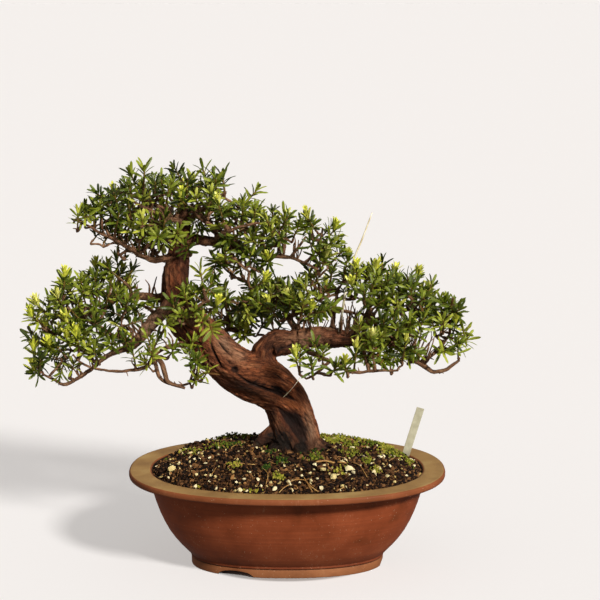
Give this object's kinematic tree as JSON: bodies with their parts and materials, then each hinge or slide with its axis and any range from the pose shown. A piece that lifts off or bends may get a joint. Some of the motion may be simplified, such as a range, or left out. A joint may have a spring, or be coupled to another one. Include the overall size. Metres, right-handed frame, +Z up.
{
  "type": "bonsai tree in pot",
  "caption": "Leaning conifer bonsai with flat needle sprays on layered branches, in an oval unglazed pot with a broad lip and a notched foot ring.",
  "frame": {"origin": "midway across the footprint of the whole object, on the surface that it stands on; the pot's centre is 39.6 mm to the right of it (+X)", "axes": "+Z up, +X to the viewer's right along the pot's length, -Y towards the viewer (the front of the tree)"},
  "size_m": [0.5046, 0.266, 0.4564],
  "materials": {
    "stoneware": "unglazed, matt, fired reddish brown",
    "potting_mix": "moist bark, grit and pumice grains",
    "bark": "rough reddish-brown bark with long fissures",
    "needles": "satin green needles",
    "screen_plastic": "moulded black plastic",
    "tag_plastic": "weathered pale grey plastic",
    "dry_straw": "dry, slightly glossy"
  },
  "bodies": {
    "root": {"back_spray_01": "needles", "back_spray_02": "needles", "back_spray_03": "needles", "crown_spray_01": "needles", "crown_spray_02": "needles", "crown_spray_03": "needles", "crown_spray_04": "needles", "crown_spray_05": "needles", "crown_spray_06": "needles", "crown_spray_07": "needles", "crown_spray_08": "needles", "crown_spray_09": "needles", "crown_spray_10": "needles", "crown_spray_11": "needles", "crown_spray_12": "needles", "crown_spray_13": "needles", "drain_screen_left": "screen_plastic", "drain_screen_right": "screen_plastic", "front_spray_01": "needles", "grass_stem": "dry_straw", "left_spray_01": "needles", "left_spray_02": "needles", "left_spray_03": "needles", "left_spray_04": "needles", "left_spray_05": "needles", "left_spray_06": "needles", "left_spray_07": "needles", "left_spray_08": "needles", "left_spray_09": "needles", "left_spray_10": "needles", "left_spray_11": "needles", "plant_tag": "tag_plastic", "pot": "stoneware", "potting_mix": "potting_mix", "right_spray_01": "needles", "right_spray_02": "needles", "right_spray_03": "needles", "right_spray_04": "needles", "right_spray_05": "needles", "right_spray_06": "needles", "right_spray_07": "needles", "right_spray_08": "needles", "right_spray_09": "needles", "right_spray_10": "needles", "right_spray_11": "needles", "right_spray_12": "needles", "right_spray_13": "needles", "shoulder_spray_01": "needles", "shoulder_spray_02": "needles", "shoulder_spray_03": "needles", "shoulder_spray_04": "needles", "shoulder_spray_05": "needles", "shoulder_spray_06": "needles", "trunk_and_branches": "bark"}
  },
  "joints": []
}
